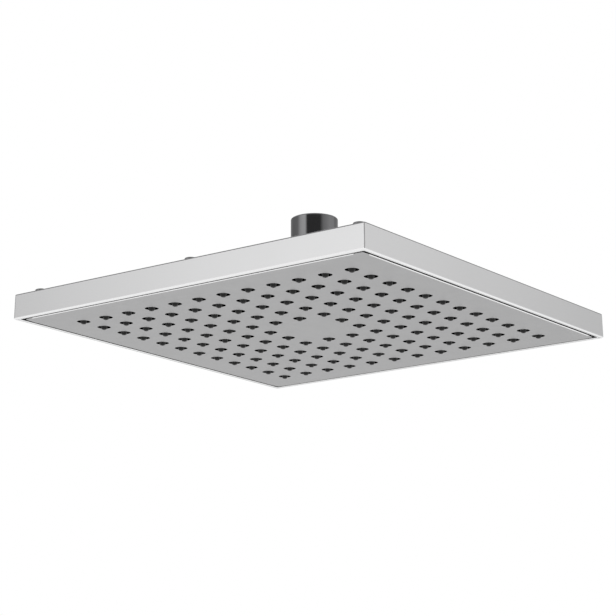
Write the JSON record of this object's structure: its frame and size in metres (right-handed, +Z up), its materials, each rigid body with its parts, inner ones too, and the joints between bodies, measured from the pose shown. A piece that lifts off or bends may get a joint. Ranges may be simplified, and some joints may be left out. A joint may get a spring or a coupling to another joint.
{
  "type": "fixed shower head",
  "caption": "Square overhead rain shower head with a perforated face plate, soft nozzles and a swivelling ball joint below a threaded inlet collar.",
  "frame": {"origin": "middle of the inlet mouth, at the top of the collar", "axes": "+Z up along the inlet, out of its mouth; X and Y along the sides of the square head"},
  "size_m": [0.25, 0.25, 0.069],
  "materials": {
    "shell": "bright chrome plating on moulded plastic",
    "plate": "satin silver plating on moulded plastic",
    "silicone": "matt black silicone",
    "screw_steel": "plain zinc plated steel",
    "seal_rubber": "matt black rubber",
    "seat_plastic": "plain white moulded plastic",
    "stem": "bright chrome plating on turned brass",
    "screen_steel": "woven stainless wire"
  },
  "bodies": {
    "inlet": {"inlet_stem": "stem", "inlet_gasket": "seal_rubber", "filter_screen": "screen_steel", "flow_limiter": "seat_plastic"},
    "seat": {"ball_seat": "seat_plastic"},
    "seal": {"ball_seal": "seal_rubber"},
    "head": {"back_shell": "shell", "face_plate": "plate", "nozzle_mat": "silicone", "cover_screws": "screw_steel", "ring_nut": "shell"}
  },
  "joints": [
    {"name": "swivel", "type": "hinge", "parent": "inlet", "child": "seat", "pos_m": [0, 0, -0.03467], "axis": [0, 0, 1], "continuous": true},
    {"name": "tilt_side", "type": "hinge", "parent": "seat", "child": "seal", "pos_m": [0, 0, -0.03467], "axis": [1, 0, 0], "range_deg": [-15, 15]},
    {"name": "tilt_front", "type": "hinge", "parent": "seal", "child": "head", "pos_m": [0, 0, -0.03467], "axis": [0, 1, 0], "range_deg": [-15, 15]}
  ]
}
